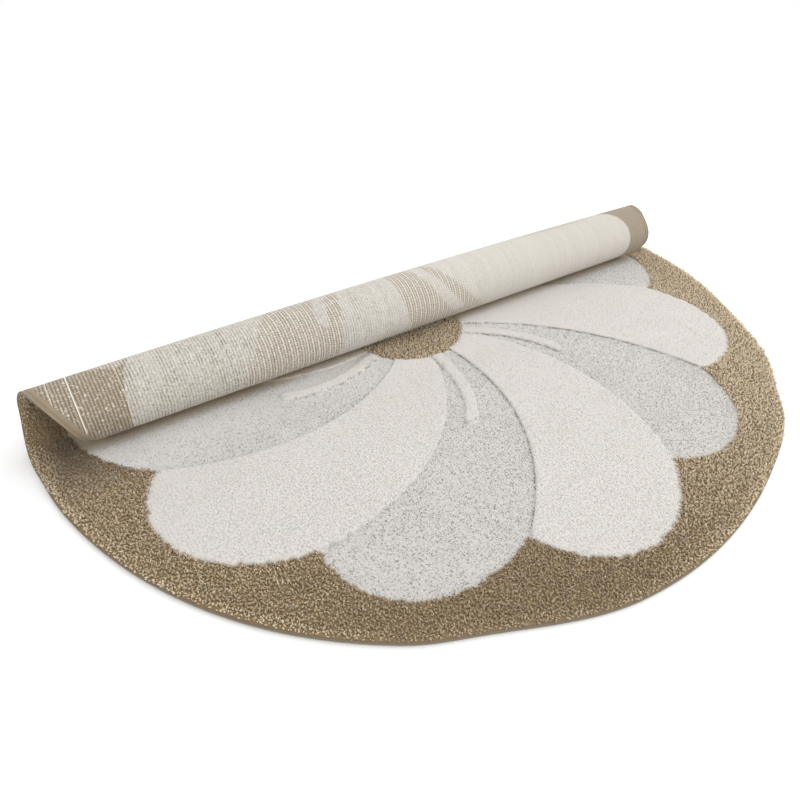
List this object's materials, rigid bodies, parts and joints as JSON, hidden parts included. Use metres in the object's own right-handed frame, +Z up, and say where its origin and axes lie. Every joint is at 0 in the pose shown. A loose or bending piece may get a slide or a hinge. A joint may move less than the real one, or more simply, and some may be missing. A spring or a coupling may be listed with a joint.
{
  "type": "round rug",
  "caption": "Round carved-pile rug with a flower of cream and grey petals on brown, its far half rolled up over the near half, with a sewn edge tape",
  "frame": {"origin": "Middle of the bottom of the whole rug's box, on the floor it lies on", "axes": "+X along the roll, to the right as seen from the flat half; +Y across the rug from the flat half to the roll; +Z up"},
  "size_m": [1.2098, 0.654, 0.1072],
  "materials": {
    "pile": "soft cut pile, brown border with cream and grey petals, woven beige back",
    "tape": "matt woven tape, brown"
  },
  "bodies": {
    "root": {"rug_cloth": "pile", "edge_tape": "tape"}
  },
  "joints": []
}
